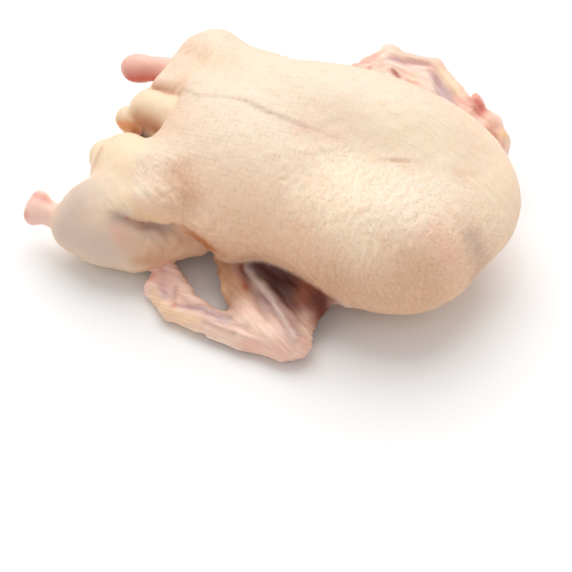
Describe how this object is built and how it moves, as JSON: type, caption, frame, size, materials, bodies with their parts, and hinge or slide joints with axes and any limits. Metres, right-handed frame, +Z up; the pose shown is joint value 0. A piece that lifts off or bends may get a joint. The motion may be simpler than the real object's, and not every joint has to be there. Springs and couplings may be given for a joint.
{
  "type": "raw dressed goose",
  "caption": "Raw, plucked and drawn goose lying on its back with its skin on, one wing folded on the table and the other held out, legs cut off at the hock.",
  "frame": {"origin": "middle of the bird's bounding box, on the surface it lies on", "axes": "+X towards the neck end, -X towards the tail and feet, +Z up through the breast, -Y towards the folded wing"},
  "size_m": [0.4116, 0.3376, 0.1475],
  "materials": {
    "skin": "moist raw skin, soft satin"
  },
  "bodies": {
    "root": {"goose": "skin"}
  },
  "joints": []
}
